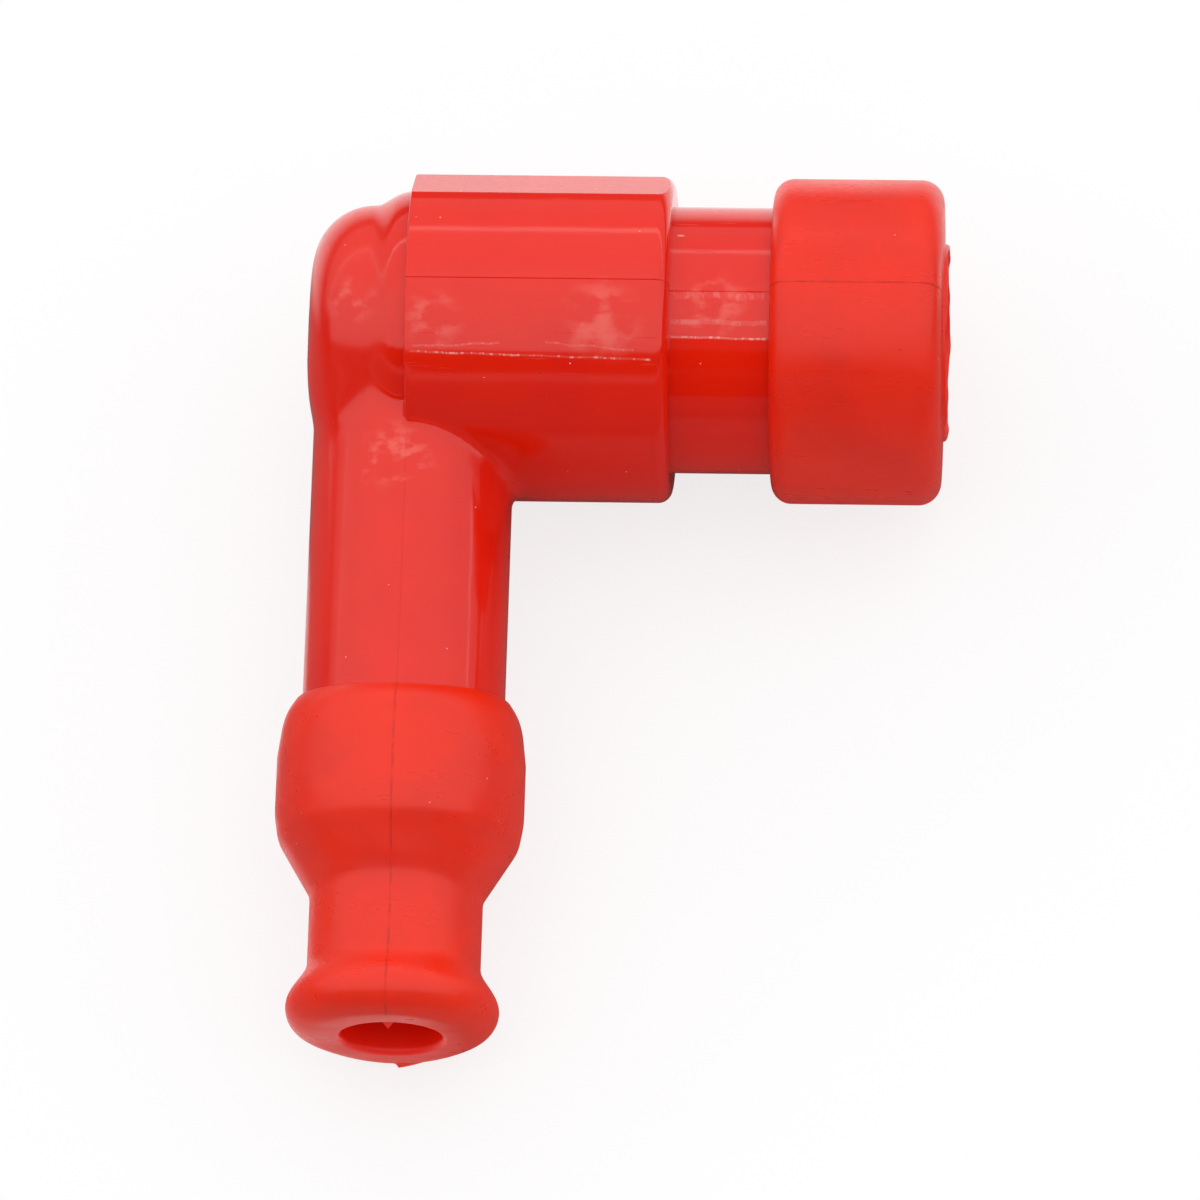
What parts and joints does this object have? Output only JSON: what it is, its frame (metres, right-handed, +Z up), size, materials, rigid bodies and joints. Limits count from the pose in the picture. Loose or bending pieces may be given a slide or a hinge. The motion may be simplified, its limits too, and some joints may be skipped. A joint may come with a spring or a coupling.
{
  "type": "spark plug cap",
  "caption": "Red right-angle spark plug cap: glossy elbow body with a silicone seal on its plug mouth and a beaded silicone boot for the lead.",
  "frame": {"origin": "middle of the cap's footprint, on the surface it lies on", "axes": "+X along the wide arm towards the plug, -Y along the slender arm towards the lead, +Z up"},
  "size_m": [0.0458, 0.0631, 0.0228],
  "materials": {
    "red_resin": "glossy moulded resin",
    "seal_silicone": "satin silicone rubber",
    "boot_silicone": "satin silicone rubber",
    "terminal_brass": "turned",
    "block_brass": "turned",
    "spring_steel": "bright spring wire",
    "screw_steel": "zinc plated",
    "nickel_plate": "nickel plated",
    "resistor_ceramic": "fired, unglazed"
  },
  "bodies": {
    "root": {"cap_body": "red_resin", "plug_seal": "seal_silicone", "cable_boot": "boot_silicone", "plug_terminal": "terminal_brass", "terminal_clip": "spring_steel", "resistor_rod": "resistor_ceramic", "resistor_front_cap": "nickel_plate", "resistor_rear_cap": "nickel_plate", "contact_spring": "spring_steel", "contact_block": "block_brass", "cable_screw": "screw_steel"}
  },
  "joints": []
}
